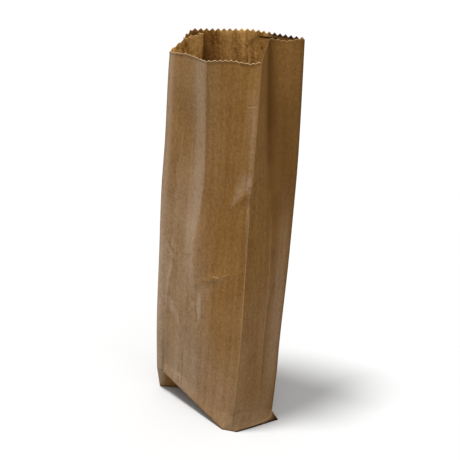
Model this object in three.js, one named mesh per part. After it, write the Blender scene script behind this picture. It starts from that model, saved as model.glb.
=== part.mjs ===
// Paper bottle bag: one sheet of brown kraft, folded into a gusseted tube with a flat base.
// Millimetres, +Z up. The front panel faces -Y, the right gusset faces +X, and the bag stands on Z = 0.
import * as THREE from 'three';

// Driving dimensions of the folded bag
const PANEL_WIDTH = 108;    // front and back panels, fold to fold
const GUSSET_DEPTH = 64;    // side gussets, each creased down its middle
const BAG_HEIGHT = 406;     // base fold to cut edge
const PAPER = 0.12;         // one thickness of kraft
const LAP_WIDTH = 14;       // glued lap that closes the tube, on the back panel
const LAP_INSET = 43;       // from the right back fold to the lap
const TOOTH_PITCH = 5.4;    // zigzag cut of the mouth
const TOOTH_HEIGHT = 2.8;

// The base: a rectangle that sits turned against the tube above it
const BASE_TURN = -15;      // degrees
const BASE_LAYERS = 4;      // thicknesses of folded paper
const FOOT_HEIGHT = 15;     // crease round the foot, where the tube leaves the base
const EDGE_LIFT = 25;       // the front edge is lifted off the ground at the left corner
const LEG_WIDTH = 9;        // strip of the left corner that still reaches the ground
const LEG_SPLAY = 6;        // that strip's foot stands out past the base
const LEG_REACH = 18;       // how far along the base that corner's crease runs
const CORNER_CUT = 11;      // the right front corner is pushed in across its fold
const FLAP_PAST = 10;       // the bottom flap, glued over from the back, ends this far past the middle
const FLAP_MARGIN = 5;      // from the base's edges to the flap's

// How the tube has bent. Heights are shares of the bag's height. A gusset's tuck is how far its middle
// crease lies inside the line between its corners, and a bulge is how far a panel's middle stands out.
const STATIONS = [
  { at: 0.00, x: -5, y: -3, turn: -5, shear: -3, rightTuck: -5, leftTuck: -1, frontBulge: 1, backBulge: 0 },
  { at: 0.20, x: -5, y: -7, turn: -1, shear: -3, rightTuck: -4, leftTuck: 0, frontBulge: 3, backBulge: 0 },
  { at: 0.44, x: -5, y: -7, turn: 0, shear: -6, rightTuck: -4, leftTuck: 3, frontBulge: 6, backBulge: 0 },
  { at: 0.60, x: -5, y: -8, turn: 0, shear: -6, rightTuck: 0, leftTuck: 8, frontBulge: 3, backBulge: 0 },
  { at: 0.76, x: -5, y: -9, turn: 0, shear: -6, rightTuck: 9, leftTuck: 16, frontBulge: 6, backBulge: 1 },
  { at: 1.00, x: -7, y: -13, turn: 2, shear: -8, rightTuck: 16, leftTuck: 27, frontBulge: 14, backBulge: 4 },
];
const MOUTH_LIFT = [-15, -6, 5, 15, 13, 9, -1, 3]; // the cut edge at each fold, against the bag's height
const RING_STEP = 18;       // spacing of the sections up the tube

const perimeter = 2 * (PANEL_WIDTH + GUSSET_DEPTH);
const halfGusset = GUSSET_DEPTH / 2;
const halfPanel = PANEL_WIDTH / 2;
const baseTurn = THREE.MathUtils.degToRad(BASE_TURN);
const baseThickness = BASE_LAYERS * PAPER;
const floorHeight = PAPER + baseThickness; // inside, above the bottom flap
// Distances round the sheet to its folds, from the left front fold: middle of the front, right front, right
// gusset, right back, middle of the back, left back, left gusset.
const FOLDS = [
  0,
  halfPanel,
  PANEL_WIDTH,
  PANEL_WIDTH + halfGusset,
  PANEL_WIDTH + GUSSET_DEPTH,
  1.5 * PANEL_WIDTH + GUSSET_DEPTH,
  2 * PANEL_WIDTH + GUSSET_DEPTH,
  2 * PANEL_WIDTH + 1.5 * GUSSET_DEPTH,
];
const [LEFT_FRONT, MID_FRONT, RIGHT_FRONT, , RIGHT_BACK] = FOLDS;
const cutStart = RIGHT_FRONT - CORNER_CUT;
const cutEnd = RIGHT_FRONT + CORNER_CUT;
const lapStart = RIGHT_BACK + LAP_INSET;
const lapEnd = lapStart + LAP_WIDTH;

// Values between the stations
const fields = Object.keys(STATIONS[0]).filter((name) => name !== 'at');
const stationCurve = new THREE.CubicInterpolant(
  STATIONS.map((station) => station.at * BAG_HEIGHT),
  STATIONS.flatMap((station) => fields.map((name) => station[name])),
  fields.length,
);

function bendAt(height) {
  const values = stationCurve.evaluate(height);
  return Object.fromEntries(fields.map((name, i) => [name, values[i]]));
}

// The leg of a right triangle: a strip of this width, pushed sideways by offset, spans this much.
function span(width, offset) {
  return Math.sqrt(width * width - offset * offset);
}

// A point along the line from a to b, moved off it to the left of that direction.
function beside(a, b, along, offset) {
  const direction = b.clone().sub(a).normalize();
  const left = new THREE.Vector2(-direction.y, direction.x);
  return a.clone().addScaledVector(direction, along).addScaledVector(left, offset);
}

// Eight folds of the tube at one height. The widths of the sheet's strips are kept: only the angles change.
function tubeSection(height) {
  const bend = bendAt(height);
  const rightSpan = span(halfGusset, bend.rightTuck);
  const leftSpan = span(halfGusset, bend.leftTuck);
  const frontSpan = span(halfPanel, bend.frontBulge);
  const backSpan = span(halfPanel, bend.backBulge);
  const leftFront = new THREE.Vector2(0, 0);
  const rightFront = new THREE.Vector2(2 * frontSpan, 0);
  const shear = THREE.MathUtils.degToRad(bend.shear);
  const side = new THREE.Vector2(0, 2 * rightSpan).rotateAround(leftFront, shear);
  const rightBack = rightFront.clone().add(side);
  // The left back fold closes the four-sided frame
  const diagonal = rightBack.length();
  const along = (4 * leftSpan ** 2 - 4 * backSpan ** 2 + diagonal ** 2) / (2 * diagonal);
  const leftBack = beside(leftFront, rightBack, along, span(2 * leftSpan, along));
  const folds = [
    leftFront,
    beside(leftFront, rightFront, frontSpan, -bend.frontBulge),
    rightFront,
    beside(rightFront, rightBack, rightSpan, bend.rightTuck),
    rightBack,
    beside(rightBack, leftBack, backSpan, -bend.backBulge),
    leftBack,
    beside(leftBack, leftFront, leftSpan, bend.leftTuck),
  ];
  const centre = leftFront.clone().add(rightFront).add(rightBack).add(leftBack).divideScalar(4);
  const place = new THREE.Vector2(bend.x, bend.y);
  const turn = THREE.MathUtils.degToRad(bend.turn);
  return folds.map((fold) => fold.clone().rotateAround(centre, turn).sub(centre).add(place));
}

// A point of the base, given along its length and its depth
function onBase(x, y) {
  return new THREE.Vector2(x, y).rotateAround(new THREE.Vector2(), baseTurn);
}

// The base's rectangle, with the same eight folds
function baseSection() {
  return [
    onBase(-halfPanel, -halfGusset),
    onBase(0, -halfGusset),
    onBase(halfPanel, -halfGusset),
    onBase(halfPanel, 0),
    onBase(halfPanel, halfGusset),
    onBase(0, halfGusset),
    onBase(-halfPanel, halfGusset),
    onBase(-halfPanel, 0),
  ];
}

// The same outline one wall thickness further in
function insetSection(folds, inset) {
  return folds.map((fold, i) => {
    const before = fold.clone().sub(folds.at(i - 1)).normalize();
    const after = folds[(i + 1) % folds.length].clone().sub(fold).normalize();
    const inward = new THREE.Vector2(-before.y - after.y, before.x + after.x).normalize();
    const half = inward.dot(new THREE.Vector2(-after.y, after.x));
    return fold.clone().addScaledVector(inward, inset / half);
  });
}

// A point of the outline at a distance round the sheet, lifted outwards off it by a number of thicknesses
function onOutline(folds, around, layers = 0) {
  const i = FOLDS.findLastIndex((fold) => fold <= around);
  const width = (FOLDS[i + 1] ?? perimeter) - FOLDS[i];
  const start = folds[i];
  const end = folds[(i + 1) % folds.length];
  const share = (around - FOLDS[i]) / width;
  return beside(start, end, share * start.distanceTo(end), -layers * PAPER);
}

// The mouth's cut edge: its height follows the folds, and the zigzag starts afresh at each fold
const mouthLift = new THREE.LinearInterpolant([...FOLDS, perimeter], [...MOUTH_LIFT, MOUTH_LIFT[0]], 1);

function teethBetween(start, end) {
  return Math.max(1, Math.round((end - start) / TOOTH_PITCH));
}

function mouthHeight(around) {
  const i = FOLDS.findLastIndex((fold) => fold <= around);
  const start = FOLDS[i];
  const end = FOLDS[i + 1] ?? perimeter;
  const phase = ((around - start) / (end - start)) * teethBetween(start, end);
  const fromTip = Math.abs(2 * (phase % 1) - 1);
  return BAG_HEIGHT + mouthLift.evaluate(around)[0] - fromTip * TOOTH_HEIGHT;
}

// A line just under the teeth, straight from fold to fold
function rootHeight(around) {
  return BAG_HEIGHT + mouthLift.evaluate(around)[0] - 1.5 * TOOTH_HEIGHT;
}

// Stops round the sheet where a ring has vertices. On the outside, the lap stands one thickness proud.
const withLapEdges = (stops) => [...new Set([...stops, lapStart, lapEnd])].sort((a, b) => a - b);
const bare = (around) => ({ around, layers: 0 });
const lapped = (around) => ({ around, layers: 1 });

function outsideStops(stops) {
  return withLapEdges(stops).flatMap((around) => {
    if (around === lapStart) return [bare(around), lapped(around + PAPER)];
    if (around === lapEnd) return [lapped(around - PAPER), bare(around)];
    return around > lapStart && around < lapEnd ? lapped(around) : bare(around);
  });
}

function insideStops(stops) {
  return withLapEdges(stops).map(bare);
}

const toothStops = FOLDS.flatMap((start, i) => {
  const end = FOLDS[i + 1] ?? perimeter;
  const count = 2 * teethBetween(start, end);
  return Array.from({ length: count }, (_, k) => start + ((end - start) * k) / count);
});

// One mesh gathers every vertex and triangle
const vertices = [];
const triangles = [];

function addRing(stops, place) {
  return stops.map(({ around, layers }) => ({ around, index: vertices.push(place(around, layers)) - 1 }));
}

// Joins two closed rings, lower to upper, with faces that look outwards
function stitch(lower, upper, flip = false) {
  const next = (ring, i) => ({
    index: ring[(i + 1) % ring.length].index,
    around: i + 1 < ring.length ? ring[i + 1].around : perimeter,
  });
  let i = 0;
  let j = 0;
  while (i < lower.length || j < upper.length) {
    const low = lower[i % lower.length];
    const high = upper[j % upper.length];
    const lowMiddle = i < lower.length ? low.around + next(lower, i).around : Infinity;
    const highMiddle = j < upper.length ? high.around + next(upper, j).around : Infinity;
    const face = lowMiddle <= highMiddle
      ? [low.index, next(lower, i).index, high.index]
      : [low.index, next(upper, j).index, high.index];
    if (lowMiddle <= highMiddle) i += 1;
    else j += 1;
    triangles.push(flip ? face.reverse() : face);
  }
}

// Height of the front's bottom edge, and of the crease above it
function edgeHeight(around) {
  const share = (cutStart - around) / (cutStart - LEG_WIDTH);
  return around < LEG_WIDTH ? 0 : EDGE_LIFT * THREE.MathUtils.clamp(share, 0, 1);
}

function footHeight(around) {
  return FOOT_HEIGHT + edgeHeight(around) / 2;
}

// The tube's wall, outside or inside, from the foot crease to the cut edge
function tubeRings(inset, dress) {
  const outline = (height) => insetSection(tubeSection(height), inset);
  const at = (folds, height) => (around, layers) => {
    const point = onOutline(folds, around, layers);
    return new THREE.Vector3(point.x, point.y, height(around));
  };
  const footStops = [LEFT_FRONT, LEG_WIDTH, ...FOLDS.slice(1)];
  const rings = [addRing(dress(footStops), at(outline(FOOT_HEIGHT), footHeight))];
  const steps = Math.round((BAG_HEIGHT - FOOT_HEIGHT) / RING_STEP);
  for (let k = 1; k < steps; k += 1) {
    const share = k / steps;
    const height = THREE.MathUtils.lerp(FOOT_HEIGHT, BAG_HEIGHT, share);
    const lifted = (around) => height + mouthLift.evaluate(around)[0] * share ** 2
      + (footHeight(around) - FOOT_HEIGHT) * (1 - share) ** 2;
    rings.push(addRing(dress(FOLDS), at(outline(height), lifted)));
  }
  const mouth = outline(BAG_HEIGHT);
  rings.push(addRing(dress(toothStops), at(mouth, rootHeight)));
  rings.push(addRing(dress(toothStops), at(mouth, mouthHeight)));
  return rings;
}

// The outline of the base, with the lifted front edge and the cut corner. The leg is the corner's foot.
function baseRing(inset, leg, dress, height) {
  const rectangle = insetSection(baseSection(), inset);
  const legTop = onOutline(insetSection(tubeSection(FOOT_HEIGHT), inset), LEG_WIDTH);
  const cut = onOutline(rectangle, cutStart);
  const place = (around, layers) => {
    const share = (around - LEG_WIDTH) / (cutStart - LEG_WIDTH);
    const lifted = around < LEG_WIDTH ? leg : legTop.clone().lerp(cut, share);
    const point = around < cutStart ? lifted : onOutline(rectangle, around, layers);
    return new THREE.Vector3(point.x, point.y, height(around));
  };
  return addRing(dress([LEFT_FRONT, LEG_WIDTH, MID_FRONT, cutStart, cutEnd, ...FOLDS.slice(3)]), place);
}

// Fills a flat outline, holes left open
function fill(outline, holes, flip) {
  const flat = (loop) => loop.map((index) => new THREE.Vector2(vertices[index].x, vertices[index].y));
  const all = [...outline, ...holes.flat()];
  for (const face of THREE.ShapeUtils.triangulateShape(flat(outline), holes.map(flat))) {
    const corners = face.map((corner) => all[corner]);
    triangles.push(flip ? corners.reverse() : corners);
  }
}

// A face of the base: flat, but for the facets under the lifted front edge
function baseFace(ring, height, holes, flip) {
  const [corner, legTop, middle, cut, ...rest] = ring.map((stop) => stop.index);
  const crease = onBase(LEG_REACH - halfPanel, -halfGusset / 2);
  const reach = vertices.push(new THREE.Vector3(crease.x, crease.y, height)) - 1;
  const facets = [
    [corner, legTop, reach], [legTop, middle, reach], [middle, cut, reach], [rest.at(-1), corner, reach],
  ];
  triangles.push(...facets.map((face) => (flip ? face.reverse() : face)));
  fill([reach, cut, ...rest], holes, flip);
}

// The glued flap under the base: a trapezium that stands one thickness of paper lower
function bottomFlap() {
  const end = halfPanel - FLAP_MARGIN;
  const back = halfGusset - FLAP_MARGIN;
  const slant = (back + FLAP_PAST) / 2;
  const corners = [
    onBase(slant - end, -FLAP_PAST), onBase(end - slant, -FLAP_PAST), onBase(end, back), onBase(-end, back),
  ];
  const loopAt = (height) => corners.map(({ x, y }) => vertices.push(new THREE.Vector3(x, y, height)) - 1);
  const upper = loopAt(PAPER);
  const lower = loopAt(0);
  upper.forEach((index, i) => {
    const j = (i + 1) % upper.length;
    triangles.push([index, lower[i], lower[j]], [index, lower[j], upper[j]]);
  });
  fill(lower, [], true);
  return upper;
}

// Outside and inside walls, the cut edge between them, the underside, and the floor inside, where the
// left corner's leg is folded solid
const legFoot = onBase(-halfPanel - LEG_SPLAY / 2, -halfGusset - LEG_SPLAY);
const [legFilled] = insetSection(tubeSection(FOOT_HEIGHT), 2 * baseThickness);
const outside = [
  baseRing(0, legFoot, outsideStops, (around) => PAPER + edgeHeight(around)),
  ...tubeRings(0, outsideStops),
];
const inside = [
  baseRing(2 * baseThickness, legFilled, insideStops,
    (around) => floorHeight + edgeHeight(Math.max(around, LEG_WIDTH))),
  ...tubeRings(PAPER, insideStops),
];
outside.slice(1).forEach((ring, i) => stitch(outside[i], ring));
inside.slice(1).forEach((ring, i) => stitch(inside[i], ring, true));
stitch(outside.at(-1), inside.at(-1));
baseFace(outside[0], PAPER, [bottomFlap()], true);
baseFace(inside[0], floorHeight, [], false);

const geometry = new THREE.BufferGeometry();
geometry.setAttribute('position', new THREE.Float32BufferAttribute(vertices.flatMap((v) => v.toArray()), 3));
geometry.setIndex(triangles.flat());
geometry.computeVertexNormals();

const kraft = new THREE.MeshStandardMaterial({
  color: 0x85633e, roughness: 0.7, metalness: 0, flatShading: true,
});
const bag = new THREE.Mesh(geometry, kraft);
bag.name = 'paper_bag';

const part = new THREE.Group();
part.add(bag);

export default part;
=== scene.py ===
from bisect import bisect_right
from math import cos, floor, hypot, pi, radians, sin, sqrt

import bmesh
import bpy
from mathutils import Matrix, Vector, noise


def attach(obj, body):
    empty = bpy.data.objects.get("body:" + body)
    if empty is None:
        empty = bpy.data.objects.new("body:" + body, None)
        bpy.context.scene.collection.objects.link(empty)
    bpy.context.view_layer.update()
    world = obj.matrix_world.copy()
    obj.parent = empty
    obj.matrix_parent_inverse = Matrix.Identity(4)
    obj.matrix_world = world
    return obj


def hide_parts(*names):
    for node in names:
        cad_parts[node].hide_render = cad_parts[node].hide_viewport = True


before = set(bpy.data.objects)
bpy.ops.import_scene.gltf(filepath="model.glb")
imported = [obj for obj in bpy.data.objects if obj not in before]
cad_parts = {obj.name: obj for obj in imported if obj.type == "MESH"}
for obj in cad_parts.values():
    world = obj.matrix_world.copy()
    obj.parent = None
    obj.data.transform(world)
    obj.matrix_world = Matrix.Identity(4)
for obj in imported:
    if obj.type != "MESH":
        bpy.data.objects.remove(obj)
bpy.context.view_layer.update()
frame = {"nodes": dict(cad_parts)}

scene = bpy.context.scene
scene.view_settings.view_transform = "Standard"
mm = 0.001
print("frame loaded:", ", ".join(frame["nodes"]))


# Camera: a long lens from the front right, a little above, held slightly askew
shot = {
    "azimuth": 35, "elevation": 28, "roll": 4,   # degrees
    "distance": 1700, "aim": (-4.9, -5.9, 203),  # mm
    "slide": (4.8, 1.7),                         # mm, right and up in the picture
    "focalPixels": 1700, "imagePixels": 460, "sensor": 36,
}


def addCamera():
    azimuth, elevation, roll = (radians(shot[name]) for name in ("azimuth", "elevation", "roll"))
    back = Vector((sin(azimuth) * cos(elevation), -cos(azimuth) * cos(elevation), sin(elevation)))
    level = Vector((cos(azimuth), sin(azimuth), 0))
    right = level * cos(roll) + back.cross(level) * sin(roll)
    up = back.cross(right)
    eye = Vector(shot["aim"]) + right * shot["slide"][0] + up * shot["slide"][1] + back * shot["distance"]
    data = bpy.data.cameras.new("camera")
    data.sensor_fit = "HORIZONTAL"
    data.sensor_width = shot["sensor"]
    data.lens = shot["focalPixels"] * shot["sensor"] / shot["imagePixels"]
    camera = bpy.data.objects.new("camera", data)
    scene.collection.objects.link(camera)
    place = Matrix((right, up, back)).transposed().to_4x4()
    place.translation = eye * mm
    camera.matrix_world = place
    scene.camera = camera


addCamera()
print("camera placed")


def linear(hexColour):
    # sRGB hex to linear, with full alpha
    channels = [int(hexColour[i:i + 2], 16) / 255 for i in (1, 3, 5)]
    return [c / 12.92 if c <= 0.04045 else ((c + 0.055) / 1.055) ** 2.4 for c in channels] + [1]


def addNode(tree, kind, links=None, **settings):
    # settings are the node's own properties, or its inputs by name; links are input name to output socket
    node = tree.nodes.new(kind)
    for name, value in settings.items():
        if hasattr(node, name):
            setattr(node, name, value)
        else:
            node.inputs[name.replace("_", " ")].default_value = value
    for name, socket in (links or {}).items():
        tree.links.new(socket, node.inputs[name])
    return node


# The bag: one sheet of kraft, cut with a zigzag, glued at a lap on the back and folded flat, then opened.
# Lengths in mm. Distances round the sheet start at the left front fold and go right, along the front.
sheet = {
    "panel": 108, "gusset": 64, "height": 406, "paper": 0.12,
    "lapWidth": 14, "lapInset": 43, "lapLift": 1.2,  # the lap stands off by this many papers
    "toothPitch": 5.4, "toothHeight": 2.8, "columnsPerTooth": 4,
    "baseRows": 10, "footRows": 8, "tubeRows": 150, "toothRows": 3,
    "merge": 0.01,  # points this near become one
}
base = {
    "turn": -15, "foot": 15, "edgeLift": 28, "liftCurve": 1.5, "legWidth": 9, "legSplay": 6, "cut": 11,
    "earDrop": 13.6, "sideLift": 0.5,
    "flapPast": 10, "flapMargin": 5, "flapGrid": (24, 10),
    "flareRise": 9, "flareAt": 112, "flareReach": 30,
    "pulled": {3: (3.2, -4.2), 4: (6, -5.3)},  # corners drawn forward on the right
    "sweep": 0.5, "sweepRise": 50,  # share of the front's slant that goes on above the foot, and how far
}
# How the tube has bent, by share of its height: place, turn and shear in degrees, then how far the gussets'
# creases lie inside and the panels' middles stand out
stations = {
    "at": (0.00, 0.20, 0.44, 0.60, 0.76, 1.00),
    "x": (-5, -5, -5, -5, -5, -7),
    "y": (-3, -7, -7, -8, -9, -13),
    "turn": (-5, -1, 0, 0, 0, 2),
    "shear": (-3, -3, -6, -6, -6, -8),
    "rightTuck": (-5, -4, -4, 0, 9, 16),
    "leftTuck": (-1, 0, 3, 8, 16, 27),
    "frontBulge": (1, 3, 6, 3, 6, 14),
    "backBulge": (0, 0, 0, 0, 1, 4),
}
# Back folds drawn out of line: which fold, how far, and the shares of the height from none to all of it
pulls = ((4, 2.4, 1.8, 0, 1), (4, 0, -5.2, 0.15, 0), (6, -3.4, -2.6, 0.75, 1))
# The cut edge, with a value for each fold or for the strip from there to the next
mouth = {
    "lift": (-15, -6, 5, 15, 13, 9, -1, 8.5),      # the edge at the fold, against the sheet's height
    "teeth": (0.5, 0.55, 0.8, 0.5, 1, 1, 1, 0.6),  # how much of the strip's zigzag still shows
    "lean": (0.3, 0.25, 0.1, 0, 0, 0, 0.1, 0.1),   # how far the strip's teeth lean out
    "ragged": 0.4,                                 # how unevenly they lean
    "root": 1.5,                                   # where that starts, in tooth heights below the edge
    # dips of the edge: middle, reach, drop
    "sags": ((24, 22, -2), (98, 18, 3.2), (155, 15, 2.6), (296, 16, 8), (330, 14, -4.5)),
    "pale": (0.9, 0.25),                           # how pale the raw edge is, on the front and elsewhere
}

halfPanel = sheet["panel"] / 2
halfGusset = sheet["gusset"] / 2
strips = [halfPanel, halfPanel, halfGusset, halfGusset] * 2  # from fold to fold
folds = [sum(strips[:i]) for i in range(len(strips) + 1)]
around = folds[-1]
rightFront, rightBack = folds[2], folds[4]
lapStart = rightBack + sheet["lapInset"]


def between(xs, ys, x):
    # smooth curve through the stations
    i = min(max(bisect_right(xs, x) - 1, 0), len(xs) - 2)
    slope = [(ys[k + 1] - ys[k]) / (xs[k + 1] - xs[k]) for k in range(len(xs) - 1)]
    tangent = [slope[0]] + [(a + b) / 2 for a, b in zip(slope, slope[1:])] + [slope[-1]]
    step = xs[i + 1] - xs[i]
    t = (x - xs[i]) / step
    return ((2 * t ** 3 - 3 * t ** 2 + 1) * ys[i] + (t ** 3 - 2 * t ** 2 + t) * step * tangent[i]
            + (3 * t ** 2 - 2 * t ** 3) * ys[i + 1] + (t ** 3 - t ** 2) * step * tangent[i + 1])


def ramp(xs, ys, x):
    i = min(max(bisect_right(xs, x) - 1, 0), len(xs) - 2)
    return ys[i] + (ys[i + 1] - ys[i]) * (x - xs[i]) / (xs[i + 1] - xs[i])


def reachOf(width, offset):
    return sqrt(width ** 2 - offset ** 2)


def beside(a, b, along, offset):
    # a point along the line from a to b, moved off it to the left
    d = (b - a).normalized()
    return a + d * along + Vector((-d.y, d.x)) * offset


def tubeSection(share):
    bend = {name: between(stations["at"], values, share) for name, values in stations.items()}
    front = reachOf(halfPanel, bend["frontBulge"])
    back = reachOf(halfPanel, bend["backBulge"])
    right = reachOf(halfGusset, bend["rightTuck"])
    left = reachOf(halfGusset, bend["leftTuck"])
    shear, turn = radians(bend["shear"]), radians(bend["turn"])
    lf = Vector((0, 0))
    rf = Vector((2 * front, 0))
    rb = rf + Vector((-sin(shear), cos(shear))) * 2 * right
    along = (4 * left ** 2 - 4 * back ** 2 + rb.length_squared) / (2 * rb.length)
    lb = beside(lf, rb, along, reachOf(2 * left, along))
    corners = [
        lf, beside(lf, rf, front, -bend["frontBulge"]), rf, beside(rf, rb, right, bend["rightTuck"]),
        rb, beside(rb, lb, back, -bend["backBulge"]), lb, beside(lb, lf, left, bend["leftTuck"]),
    ]
    centre = (lf + rf + rb + lb) / 4
    for k, x, y, none, whole in pulls:
        corners[k] = corners[k] + Vector((x, y)) * max(0, (share - none) / (whole - none))
    spun = Matrix.Rotation(turn, 2)
    return [spun @ (p - centre) + Vector((bend["x"], bend["y"])) for p in corners]


def stripAt(u):
    return min(bisect_right(folds, u) - 1, len(strips) - 1)


def onOutline(corners, u):
    # a point of the section and the outward direction there
    i = stripAt(u)
    a, b = corners[i], corners[(i + 1) % len(corners)]
    d = b - a
    return a + d * (u - folds[i]) / strips[i], Vector((d.y, -d.x)).normalized()


def onBase(x, y):
    return Matrix.Rotation(radians(base["turn"]), 2) @ Vector((x, y))


baseCorners = [onBase(x * halfPanel, y * halfGusset) for x, y in
               ((-1, -1), (0, -1), (1, -1), (1, 0), (1, 1), (0, 1), (-1, 1), (-1, 0))]
for corner, pull in base["pulled"].items():
    baseCorners[corner] += Vector(pull)
spine = halfPanel - halfGusset
baseSpine = [onBase(x, 0) for x in (-spine, 0, spine, spine, spine, 0, -spine, -spine)]
legFoot = onBase(-halfPanel - base["legSplay"] / 2, -halfGusset - base["legSplay"])
cutStart, cutEnd = rightFront - base["cut"], rightFront + base["cut"]
footSection = tubeSection(base["foot"] / sheet["height"])
legTop = onOutline(footSection, base["legWidth"])[0]


def edgeHeight(u):
    # the front's bottom edge is lifted off the ground towards the left, where a narrow leg reaches it
    if u < base["legWidth"]:
        return base["edgeLift"] * u / base["legWidth"]
    if u > cutEnd:
        fromEnds = min(u - cutEnd, rightBack - u)
        return base["sideLift"] * max(0, min(1, fromEnds / base["cut"]))
    return base["edgeLift"] * max(0, cutStart - u) / (cutStart - base["legWidth"])


def baseEdge(u):
    if u < base["legWidth"]:
        return legFoot.lerp(legTop, u / base["legWidth"])
    if u < cutStart:
        cut = onOutline(baseCorners, cutStart)[0]
        return legTop.lerp(cut, (u - base["legWidth"]) / (cutStart - base["legWidth"]))
    if u < cutEnd:
        a, b = onOutline(baseCorners, cutStart)[0], onOutline(baseCorners, cutEnd)[0]
        return a.lerp(b, (u - cutStart) / (cutEnd - cutStart))
    if u > folds[7]:
        return baseCorners[7].lerp(legFoot, (u - folds[7]) / halfGusset)
    return onOutline(baseCorners, u)[0]


def footHeight(u):
    # the flare starts highest at the cut corner
    if u < base["legWidth"]:
        lifted = base["edgeLift"] / 2
    elif u > folds[7]:
        lifted = base["edgeLift"] / 2 * (u - folds[7]) / halfGusset
    else:
        lifted = edgeHeight(u)
    flared = base["flareRise"] * max(0, 1 - abs(u - base["flareAt"]) / base["flareReach"])
    eared = base["earDrop"] * max(0, 1 - abs(u - rightBack) / base["flareReach"])
    return base["foot"] + lifted + flared - eared


def sweep(u):
    # none at the leg and round the cut corner
    ends = (base["legWidth"], base["legWidth"] + base["cut"], cutStart - base["cut"], cutStart)
    return base["sweep"] * max(0, ramp(ends, (0, 1, 1, 0), u)) if u < cutStart else 0


def rimHeight(u):
    sag = sum(drop * max(0, 1 - abs(u - middle) / reach) for middle, reach, drop in mouth["sags"])
    return sheet["height"] + ramp(folds, mouth["lift"] + mouth["lift"][:1], u) - sag


def toothDrop(u):
    # zigzag from 0 at the tips to 1 at the roots, started afresh at each fold, less where it hardly shows
    i = stripAt(u)
    count = round(strips[i] / sheet["toothPitch"])
    phase = (u - folds[i]) / strips[i] * count
    shown = mouth["teeth"][i]
    return abs(2 * (phase % 1) - 1) * shown + (1 - shown) / 2


# Marks that handling left, as heights off the folded shape. Places are in mm round and up the sheet.
handling = {
    "waves": ((70, 130, 0.8, 3), (24, 60, 0.4, 11), (9, 26, 0.15, 23)),  # size round and up, height, seed
    "calm": (9, 60),  # waves grow over this far from a fold, and from the ground
    # flutes run up a panel: stops round the sheet and heights there, stops up the sheet and shares there
    "flutes": (
        ((0, 9, 20, 34, 54), (0, 1.3, 0.3, -1.9, 0), (30, 130, 220, 330, 400), (0.1, 0.4, 1, 1, 0.6)),
        ((54, 66, 92, 108), (0, -0.9, 0.3, 0), (100, 200, 300, 400), (0, 0.7, 1, 1)),
        ((280, 296, 312), (0, 14, 0), (330, 370, 405), (0, 0.35, 1)),
    ),
    # dents: middle, half width, half height, depth
    "dents": ((107, 266, 14, 18, -1.7), (18, 118, 13, 30, -1.1), (122, 300, 12, 26, -0.8)),
    # creases: two ends, half width, height
    "creases": (
        (97, 12, 105, 21, 4, -0.6), (105, 21, 115, 24, 4, -0.6), (115, 24, 141, 16, 4, -0.5),  # cut corner
        (108, 279, 89, 256, 9, 1.3), (108, 279, 123, 288, 4, -0.9),  # right front fold
        (52, 157, 86, 178, 5, 0.9), (50, 198, 50, 156, 7, 1),  # front
        (14, 192, 21, 182, 6, 1), (21, 182, 22, 168, 6, 1.3), (22, 168, 18, 150, 6, 1.3),
        (18, 150, 14, 122, 6, 1.3), (14, 122, 17, 104, 5, 1),
        (60, 154, 60.5, 112, 5, 1.1), (47, 141, 52.6, 131, 4, -0.8), (52.6, 131, 54, 112, 4, -0.9),
        (40, 112, 38, 92, 6, 0.8), (27, 183, 45, 189, 3, 0.5), (38, 94, 35, 29, 5, -0.7),
        (151, 205, 151, 165, 6, -0.7), (151, 165, 145, 140, 5, -0.7),  # right gusset
        (145, 140, 146, 70, 6, -0.5),
    ),
    "creaseEnd": 0.15,  # creases die down towards their ends, but no more over this last share of them
}


def nearFold(u):
    return min(abs(u - f) for f in folds)


def handled(u, z):
    turn = 2 * pi * u / around
    rise = 0
    for wide, tall, height, seed in handling["waves"]:
        ring = around / (2 * pi * wide)
        rise += height * noise.noise(Vector((ring * cos(turn), ring * sin(turn), z / tall + seed)))
    calmFold, calmGround = handling["calm"]
    rise *= min(1, nearFold(u) / calmFold) * min(1, z / calmGround)
    for stops, heights, levels, shares in handling["flutes"]:
        if stops[0] < u < stops[-1]:
            level = min(max(z, levels[0]), levels[-1])
            rise += between(stops, heights, u) * ramp(levels, shares, level)
    for du, dz, wide, tall, depth in handling["dents"]:
        rise += depth * max(0, 1 - hypot((u - du) / wide, (z - dz) / tall))
    end = handling["creaseEnd"]
    for u0, z0, u1, z1, wide, height in handling["creases"]:
        a, d, p = Vector((u0, z0)), Vector((u1 - u0, z1 - z0)), Vector((u, z))
        t = min(max((p - a).dot(d) / d.length_squared, 0), 1)
        rise += height * max(0, 1 - (p - a - d * t).length / wide) * sin(pi * min(max(t, end), 1 - end))
    return rise


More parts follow.
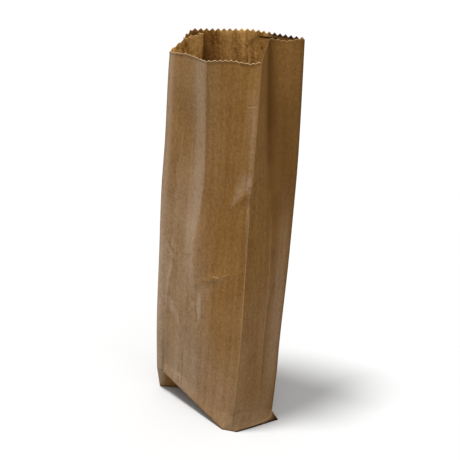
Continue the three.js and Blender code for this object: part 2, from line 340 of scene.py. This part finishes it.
# Painted sheen: the glazed face drawn paler and greyer where it would reflect the bright floor and catch
# the light
sheenPainting = {
    "fade": 1.5, "facetEnd": 6,  # how steeply a patch fades at its rim, and a facet at its wide end
    # patches of painted sheen: middle, half width, half height, strength
    "patches": (
        (0, 200, 13, 800, 0.38), (26, 110, 56, 220, 0.33), (80, 60, 50, 150, 0.04),
        (30, 320, 60, 150, 0.08), (60, 10, 70, 110, 0.2), (36, 385, 40, 70, 0.06), (128, 8, 45, 30, 0.12),
        (135, 60, 60, 170, 0.1), (160, 130, 15, 170, 0.17), (57, 132, 4.5, 24, 0.34),
    ),
    # facets turned to the light, painted palest along the crease beside them: its two ends, with the facet
    # on the left, reach, strength
    "facets": (
        (86, 252, 112, 290, 26, 0.24), (12, 115, 20.5, 168, 14, 0.3), (21.5, 172, 13.5, 190, 11, 0.26),
        (40, 84, 18, 130, 16, 0.22), (90, 180, 50, 155, 30, 0.1), (35, 10, 34, 90, 12, 0.1),
        (107, 200, 107, 385, 13, 0.2),
    ),
    # painted light on the band left of the front's ridge, which faces the light: heights up the sheet,
    # where the ridge runs, reach and strength
    "ridge": {
        "z": (135, 158, 200, 215, 266, 400), "u": (51, 50, 47, 47.5, 54.5, 54),
        "reach": (12, 14, 16, 18, 24, 24), "strength": (0, 0.18, 0.24, 0.26, 0.34, 0.34),
    },
}


def plateau(x):
    # full inside, fading over the outer part
    x = min(max(sheenPainting["fade"] * x, 0), 1)
    return x * x * (3 - 2 * x)


def paintedSheen(u, z):
    pale = 0
    for middle, height, wide, tall, strength in sheenPainting["patches"]:
        pale += strength * plateau(1 - hypot((u - middle) / wide, (z - height) / tall))
    for u0, z0, u1, z1, reach, strength in sheenPainting["facets"]:
        d, p = Vector((u1 - u0, z1 - z0)), Vector((u - u0, z - z0))
        along, across = p.dot(d) / d.length_squared, d.cross(p) / d.length
        if u < rightFront and across >= 0 and 0 < along < 1:
            ending = min(1, sheenPainting["facetEnd"] * (1 - along))
            pale += strength * plateau(1 - across / (reach * along)) * ending
    ridge = sheenPainting["ridge"]
    level = min(max(z, ridge["z"][0]), ridge["z"][-1])
    edge, reach, strength = (ramp(ridge["z"], ridge[name], level) for name in ("u", "reach", "strength"))
    if edge - reach < u < edge:
        pale += strength * plateau((u - edge + reach) / reach)
    return pale


def columnStops():
    # every fold and every tooth's tip and root has a column, and the lap runs past the seam
    stops = []
    for start, width in zip(folds, strips):
        count = round(width / sheet["toothPitch"]) * sheet["columnsPerTooth"]
        stops += [start + width * k / count for k in range(count)]
    first = next(i for i, u in enumerate(stops) if u >= lapStart)
    stops = stops[first:] + [u + around for u in stops[:first]]
    return stops + [u + around for u in stops if u <= stops[0] + sheet["lapWidth"]]


def rowStops():
    rows = [("base", k / sheet["baseRows"]) for k in range(sheet["baseRows"])]
    rows += [("foot", k / sheet["footRows"]) for k in range(sheet["footRows"])]
    rows += [("tube", k / sheet["tubeRows"]) for k in range(sheet["tubeRows"])]
    return rows + [("tooth", k / sheet["toothRows"]) for k in range(sheet["toothRows"] + 1)]


def foldedPlace(u, row, share, section):
    # where a point of the flat sheet ends up, and how far up the sheet it is
    ground = sheet["paper"]
    if row == "base":
        edge = baseEdge(u)
        middle = onOutline(baseSpine, u)[0]
        flat = middle.lerp(edge, share)
        z = ground + edgeHeight(u) * share ** base["liftCurve"]
        return Vector((flat.x, flat.y, z)), -halfGusset * (1 - share)
    foot = onOutline(footSection, u)[0]
    if row == "foot":
        edge = baseEdge(u)
        flat = edge.lerp(foot, share * (1 - sweep(u)))
        z = ground + edgeHeight(u) + (footHeight(u) - edgeHeight(u)) * share
        return Vector((flat.x, flat.y, z)), z
    point, outward = onOutline(section, u)
    rootDrop = mouth["root"] * sheet["toothHeight"]
    if row == "tooth":
        strip = stripAt(u)
        uneven = noise.cell(Vector((floor(u / sheet["toothPitch"]), strip, 0)))
        tip = rimHeight(u) - toothDrop(u) * sheet["toothHeight"]
        z = rimHeight(u) - rootDrop + (tip - rimHeight(u) + rootDrop) * share
        slope = mouth["lean"][strip]
        lean = slope * (1 + mouth["ragged"] * uneven) * max(0, z - rimHeight(u) + rootDrop)
        point = point + outward * lean
        z -= lean * slope / 2
    else:
        low, high = base["foot"], sheet["height"]
        z = (low + (high - rootDrop - low) * share + (rimHeight(u) - high) * share ** 2
             + (footHeight(u) - low) * (1 - share) ** 2)
        carried = sweep(u) * max(0, 1 - (z - footHeight(u)) / base["sweepRise"]) ** 2
        point = point.lerp(point + baseEdge(u) - foot, carried)
    point = point + outward * handled(u, z)
    return Vector((point.x, point.y, z)), z


def foldSheet():
    columns, rows = columnStops(), rowStops()
    bm = bmesh.new()
    bmesh.ops.create_grid(bm, x_segments=len(columns) - 1, y_segments=len(rows) - 1, size=1)
    place = bm.verts.layers.float_vector.new("sheetPlace")
    # how much painted sheen each point gets
    pale = bm.verts.layers.float.new("paintedSheen")
    raw = bm.verts.layers.float.new("cutEdge")
    lapLift = sheet["paper"] * sheet["lapLift"]
    sections = {}
    for v in bm.verts:
        i = round((v.co.x + 1) / 2 * (len(columns) - 1))
        j = round((v.co.y + 1) / 2 * (len(rows) - 1))
        row, share = rows[j]
        if j not in sections:
            low = base["foot"] / sheet["height"]
            sections[j] = tubeSection(1 if row == "tooth" else low + (1 - low) * share)
        u = columns[i] % around
        co, up = foldedPlace(u, row, share, sections[j])
        if columns[i] < lapStart + sheet["lapWidth"]:  # the sheet's first edge lies over its last, outside
            outward = onOutline(sections[j], u)[1]
            co += Vector((outward.x, outward.y, 0)) * lapLift
        elif row == "base" and columns[i] >= lapStart + around:  # and on the base its last edge lies above
            co.z += lapLift
        v.co = co * mm
        v[place] = Vector((columns[i], up, 0)) * mm
        v[pale] = 0 if row == "base" else paintedSheen(u, up)
        if row == "tooth" and share == 1:
            v[raw] = mouth["pale"][0 if u < rightFront else 1]
    return bm


def addFlap(bm):
    # the glued bottom flap under the base, a trapezium over its middle
    end, back = halfPanel - base["flapMargin"], halfGusset - base["flapMargin"]
    slant = (back + base["flapPast"]) / 2
    wide, deep = base["flapGrid"]
    made = bmesh.ops.create_grid(bm, x_segments=wide, y_segments=deep, size=1)["verts"]
    place = bm.verts.layers.float_vector["sheetPlace"]
    for v in made:
        y = (v.co.y + 1) / 2
        x = v.co.x * (end - slant * (1 - y))
        v[place] = Vector((x, -y * sheet["gusset"], 0)) * mm
        flat = onBase(x, -base["flapPast"] + (back + base["flapPast"]) * y)
        v.co = Vector((flat.x, flat.y, 0)) * mm
    bmesh.ops.reverse_faces(bm, faces=list({f for v in made for f in v.link_faces}))


def finishPiece(name, bm, *materials):
    mesh = bpy.data.meshes.new(name)
    for f in bm.faces:
        f.smooth = True
    bm.to_mesh(mesh)
    bm.free()
    piece = bpy.data.objects.new(name, mesh)
    scene.collection.objects.link(piece)
    for material in materials:
        mesh.materials.append(material)
    return piece


# Kraft, machine glazed: a soft sheen outside and a rough inside, a little paler as its unglazed side is and
# painted paler still as painted light inside the bag, long fibres drawn up the sheet, a cloudy formation,
# fibres raised and paler where a fold has worn or it is cut, and painted sheen, highlights and shade
kraft = {
    "outside": {"dark": "#6f4b21", "light": "#916c3e", "rough": (0.45, 0.6), "spread": (0.34, 0.66)},
    # the inside's tones are painted paler than the paper: painted light inside the bag
    "inside": {"dark": "#7a501b", "light": "#e2b16a", "rough": (0.65, 0.8), "spread": (0.37, 0.64)},
    # tones of the marks: pale for wear and painted highlights, grey for painted sheen, dark for painted
    # shade and painted deep shadow
    "wearAndPaintedLight": "#b9976f", "cut": "#d0b490", "paintedSheen": "#aa9680", "shade": "#4a2a04", "deep": "#2a1206",
    "ior": 1.45, "gloss": 0.03, "bump": (0.4, 0.4),  # bump's strength, and its height in mm
    "broken": (0.55, 1.45),  # how much of the wear and painted light shows on the darkest and on the palest grain
    # size in mm round and up the sheet, and share of the tone; the fibres are drawn coarser than real ones
    "patterns": {
        "cloud": (26, 30, 0.18), "fibre": (2, 8, 0.24), "fleck": (3.2, 2.8, 0.3), "streak": (6, 160, 0.28),
    },
    "detail": 1.5,
    # lines of wear and of painted light along folds and creases: two ends, half width, strength, which is
    # above nothing for wear and painted highlight, below nothing for painted shade in a valley and below -1
    # for painted deep shadow in a gap
    "lines": {
        "outside": (
            (108, 30, 108, 412, 1, 0.4), (108, 120, 108, 412, 0.8, 0.25),  # right front fold
            (140, 30, 140, 240, 0.8, 0.35), (140, 272, 140, 416, 9, -0.26),  # right gusset: a pale worn line low on its crease, and painted shade in the crease's valley and over the upper gusset
            (140, 300, 140, 416, 9, -0.3), (140, 335, 140, 416, 9, -0.3), (155, 250, 155, 345, 34, -0.28),
            # painted shade along the crumple on the gusset's back half
            (145, 200, 146, 260, 8, -0.22), (145, 200, 149, 160, 6, -0.25), (149, 160, 144, 138, 5, -0.3),
            (144, 138, 144, 60, 5, -0.22),
            (0, 20, 0, 390, 0.9, 0.5), (172, 12, 172, 414, 3.5, -0.4),  # left front fold worn pale, and painted shade along the right back fold
            (98, 361, 106, 364, 0.7, 0.4), (99, 363, 106, 366, 0.8, -0.25),  # nicks by the right front fold, pale with painted shade beside them
            (108, 280, 90, 257, 0.7, 0.2), (109, 280, 122, 287, 0.9, -0.5),
            (72, 172, 78, 173, 1, 0.8), (78, 173, 90, 181, 0.8, 0.3),  # front: pale crests, and painted shade along the creases
            (84, 174, 92, 180, 0.8, -0.2), (47, 139, 52.6, 131, 0.9, -0.2),
            (52.6, 131, 54, 115, 1.6, -0.25), (36, 183.5, 46, 188.5, 0.9, -0.25),
            (27, 179.5, 35, 181.5, 0.8, 0.3), (14, 190, 20.5, 183, 2.4, -0.13),
            (20.5, 183, 22.5, 170, 2.4, -0.14), (22.5, 170, 18, 152, 2.4, -0.14),
            (18, 152, 14, 124, 2.4, -0.12), (14, 124, 17, 108, 2.4, -0.1),
            (35.5, 66, 36, 27, 0.8, -0.45), (37.6, 66, 37.8, 30, 0.7, 0.2), (93, 96, 96, 96, 1.2, -0.4),
            (216, 2, 216, 414, 0.8, 0.4), (213.8, 2, 213.8, 414, 0.9, -0.4),  # edge of the lap, with a painted highlight on it and painted shade beside it
            (97, 1, 119, 1, 1.6, 0.8), (119, 2.8, 170, 2.8, 1.2, 0.3),  # bottom edge: painted highlights along it and a painted contact shadow under it
            (119, -0.3, 172, -0.3, 3, -1.6), (97, -0.3, 119, -0.3, 2, -0.9),
            (109, 3, 108, 18, 0.9, 0.4), (97, 12, 105, 21, 3, -0.2),  # cut corner: a pale crease line, and painted shade along the arc crease
            (105, 21, 115, 24, 3, -0.22), (115, 24, 141, 16, 3, -0.15),
        ),
        "inside": (  # the sheet's own count goes on past a whole turn, to the layer under the lap
            (572.6, 370, 572.6, 396, 1, 0.9), (538, 330, 538, 420, 32, -0.46),  # its raw edge, pale and with a painted highlight, and painted shade beside it
            # a pale crease, and a painted shadow below it
            (566, 391, 540, 394, 0.9, 0.4), (571, 398, 561, 410, 5, -0.5),
            (544, 410.5, 560, 408.7, 1.5, -1.4), (518, 418, 546, 416, 8, -1.15),  # painted deep shadow in the slit and on the teeth beside it
            (276, 350, 276, 420, 20, -0.65), (312, 412, 338, 398, 7, -0.55),  # painted shade beside the left back fold and under the left rim
            # painted shade on the teeth of the back's left rim
            (281, 404, 246, 410.5, 2.8, -0.75),
        ),
    },
}


def onSheet(u, z):
    # the sheet's own count starts at the lap
    return Vector((u if u >= lapStart else u + around, z, 0)) * mm


def lineMask(tree, where, u0, z0, u1, z1, wide, strength):
    a, d = onSheet(u0, z0), onSheet(u1, z1) - onSheet(u0, z0)
    along = addNode(tree, "ShaderNodeVectorMath", {0: where}, operation="SUBTRACT")
    along.inputs[1].default_value = a
    share = addNode(tree, "ShaderNodeVectorMath", {0: along.outputs["Vector"]}, operation="DOT_PRODUCT")
    share.inputs[1].default_value = d / d.length_squared
    kept = addNode(tree, "ShaderNodeClamp", {"Value": share.outputs["Value"]})
    nearest = addNode(tree, "ShaderNodeVectorMath", {"Scale": kept.outputs["Result"]}, operation="SCALE")
    nearest.inputs[0].default_value = d
    ends = {0: along.outputs["Vector"], 1: nearest.outputs["Vector"]}
    away = addNode(tree, "ShaderNodeVectorMath", ends, operation="DISTANCE")
    return addNode(tree, "ShaderNodeMapRange", {"Value": away.outputs["Value"]},
                   From_Max=wide * mm, To_Min=abs(strength), To_Max=0).outputs["Result"]


def kraftPaper(side):
    tones = kraft[side]
    material = bpy.data.materials.new("kraft paper, machine glazed, " + side)
    material.use_nodes = True
    tree = material.node_tree
    shader = tree.nodes["Principled BSDF"]
    shader.inputs["IOR"].default_value = kraft["ior"]
    shader.inputs["Specular IOR Level"].default_value = kraft["gloss"]
    where = addNode(tree, "ShaderNodeAttribute", attribute_name="sheetPlace").outputs["Vector"]
    tone = None
    for wide, tall, share in kraft["patterns"].values():
        perMetre = (1 / (wide * mm), 1 / (tall * mm), 1)
        sized = addNode(tree, "ShaderNodeMapping", {"Vector": where}, Scale=perMetre)
        pattern = addNode(tree, "ShaderNodeTexNoise", {"Vector": sized.outputs["Vector"]},
                          Scale=1, Detail=kraft["detail"])
        step = addNode(tree, "ShaderNodeMath", {0: pattern.outputs["Fac"]}, operation="MULTIPLY_ADD")
        step.inputs[1].default_value = share
        step.inputs[2].default_value = 0
        if tone:
            tree.links.new(tone, step.inputs[2])
        tone = step.outputs[0]
    low, high = tones["spread"]
    spread = addNode(tree, "ShaderNodeMapRange", {"Value": tone},
                     From_Min=low, From_Max=high).outputs["Result"]
    colour = addNode(tree, "ShaderNodeMix", {"Factor": spread}, data_type="RGBA")
    colour.inputs[6].default_value = linear(tones["dark"])  # 6 and 7 are a mix's two colours, 2 its result
    colour.inputs[7].default_value = linear(tones["light"])
    layers = []
    low, high = kraft["broken"]
    broken = addNode(tree, "ShaderNodeMapRange", {"Value": spread},
                     To_Min=low, To_Max=high).outputs["Result"]
    # the outside's painted sheen, pale and grey where the glazed face would catch the light
    if side == "outside":
        pale = addNode(tree, "ShaderNodeAttribute", attribute_name="paintedSheen").outputs["Fac"]
        pale = addNode(tree, "ShaderNodeMath", {0: pale, 1: broken}, operation="MULTIPLY").outputs[0]
        layers.append((pale, "paintedSheen"))
    for *line, strength in kraft["lines"][side]:
        wearAndPaintedLight = lineMask(tree, where, *line, strength)
        wearAndPaintedLight = addNode(tree, "ShaderNodeMath", {0: wearAndPaintedLight, 1: broken}, operation="MULTIPLY").outputs[0]
        # pale lines take the wear and painted highlight tone, dark ones painted shade, darkest below -1
        tint = "wearAndPaintedLight" if strength > 0 else "shade" if strength > -1 else "deep"
        layers.append((wearAndPaintedLight, tint))
    layers.append((addNode(tree, "ShaderNodeAttribute", attribute_name="cutEdge").outputs["Fac"], "cut"))
    for amount, name in layers:
        under = colour.outputs[2]
        colour = addNode(tree, "ShaderNodeMix", {"Factor": amount, 6: under}, data_type="RGBA")
        colour.inputs[7].default_value = linear(kraft[name])
    tree.links.new(colour.outputs[2], shader.inputs["Base Color"])
    low, high = tones["rough"]
    rough = addNode(tree, "ShaderNodeMapRange", {"Value": spread}, To_Min=low, To_Max=high)
    tree.links.new(rough.outputs["Result"], shader.inputs["Roughness"])
    strength, height = kraft["bump"]
    bump = addNode(tree, "ShaderNodeBump", {"Height": tone}, Strength=strength, Distance=height * mm)
    tree.links.new(bump.outputs["Normal"], shader.inputs["Normal"])
    return material


def makeBag():
    bm = foldSheet()
    bmesh.ops.remove_doubles(bm, verts=bm.verts, dist=sheet["merge"] * mm)
    addFlap(bm)
    bag = finishPiece("paper_bag_sheet", bm, kraftPaper("outside"), kraftPaper("inside"))
    wall = bag.modifiers.new("paper", "SOLIDIFY")
    wall.thickness = sheet["paper"] * mm
    wall.offset = -1
    wall.material_offset = 1
    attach(bag, "root")
    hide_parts("paper_bag")
    print("bag folded:", len(bag.data.polygons), "faces")


makeBag()


# Studio: a white floor, a high and fairly narrow key from the front left, a weak fill from the right,
# and even light all round
studio = {
    "floor": 6,  # metres across
    "floorRough": 0.9, "floorSeen": "#c4c4c4", "floorBounce": "#909090",
    "lamps": {  # strength, where from (compass degrees from the front, right positive), elevation, width
        "key": (3.78, -31, 72.5, 11),
        "fill": (0.56, 60, 45, 60),
    },
    "ambient": 0.62, "backdrop": 1,  # the world's strength as light, and as it is seen
}


def addSeen(tree):
    # 1 for rays from the camera, and for those that metal or glass would show
    path = addNode(tree, "ShaderNodeLightPath").outputs
    seen = path["Is Camera Ray"]
    for ray in ("Is Glossy Ray", "Is Transmission Ray"):
        seen = addNode(tree, "ShaderNodeMath", {0: seen, 1: path[ray]}, operation="MAXIMUM").outputs[0]
    return seen


def addFloor():
    bm = bmesh.new()
    bmesh.ops.create_grid(bm, x_segments=1, y_segments=1, size=studio["floor"] / 2)
    # matt paint gives no gloss and no grain, so that only the shadow shows
    material = bpy.data.materials.new("matt painted floor")
    material.use_nodes = True
    tree = material.node_tree
    shader = tree.nodes["Principled BSDF"]
    shader.inputs["Roughness"].default_value = studio["floorRough"]
    shader.inputs["Specular IOR Level"].default_value = 0
    tone = addNode(tree, "ShaderNodeMix", {"Factor": addSeen(tree)}, data_type="RGBA")
    tone.inputs[6].default_value = linear(studio["floorBounce"])
    tone.inputs[7].default_value = linear(studio["floorSeen"])
    tree.links.new(tone.outputs[2], shader.inputs["Base Color"])
    finishPiece("floor", bm, material)


def addLight():
    for name, (strength, compass, elevation, width) in studio["lamps"].items():
        sun = bpy.data.lights.new(name, "SUN")
        sun.energy = strength
        sun.angle = radians(width)
        lamp = bpy.data.objects.new(name, sun)
        scene.collection.objects.link(lamp)
        compass, elevation = radians(compass), radians(elevation)
        source = Vector((sin(compass) * cos(elevation), -cos(compass) * cos(elevation), sin(elevation)))
        lamp.rotation_euler = source.to_track_quat("Z", "Y").to_euler()
    world = bpy.data.worlds.new("white studio")
    world.use_nodes = True
    tree = world.node_tree
    level = addNode(tree, "ShaderNodeMapRange", {"Value": addSeen(tree)},
                    To_Min=studio["ambient"], To_Max=studio["backdrop"])
    tree.links.new(level.outputs["Result"], tree.nodes["Background"].inputs["Strength"])
    tree.nodes["Background"].inputs["Color"].default_value = (1, 1, 1, 1)
    scene.world = world


addFloor()
addLight()
print("studio lit")
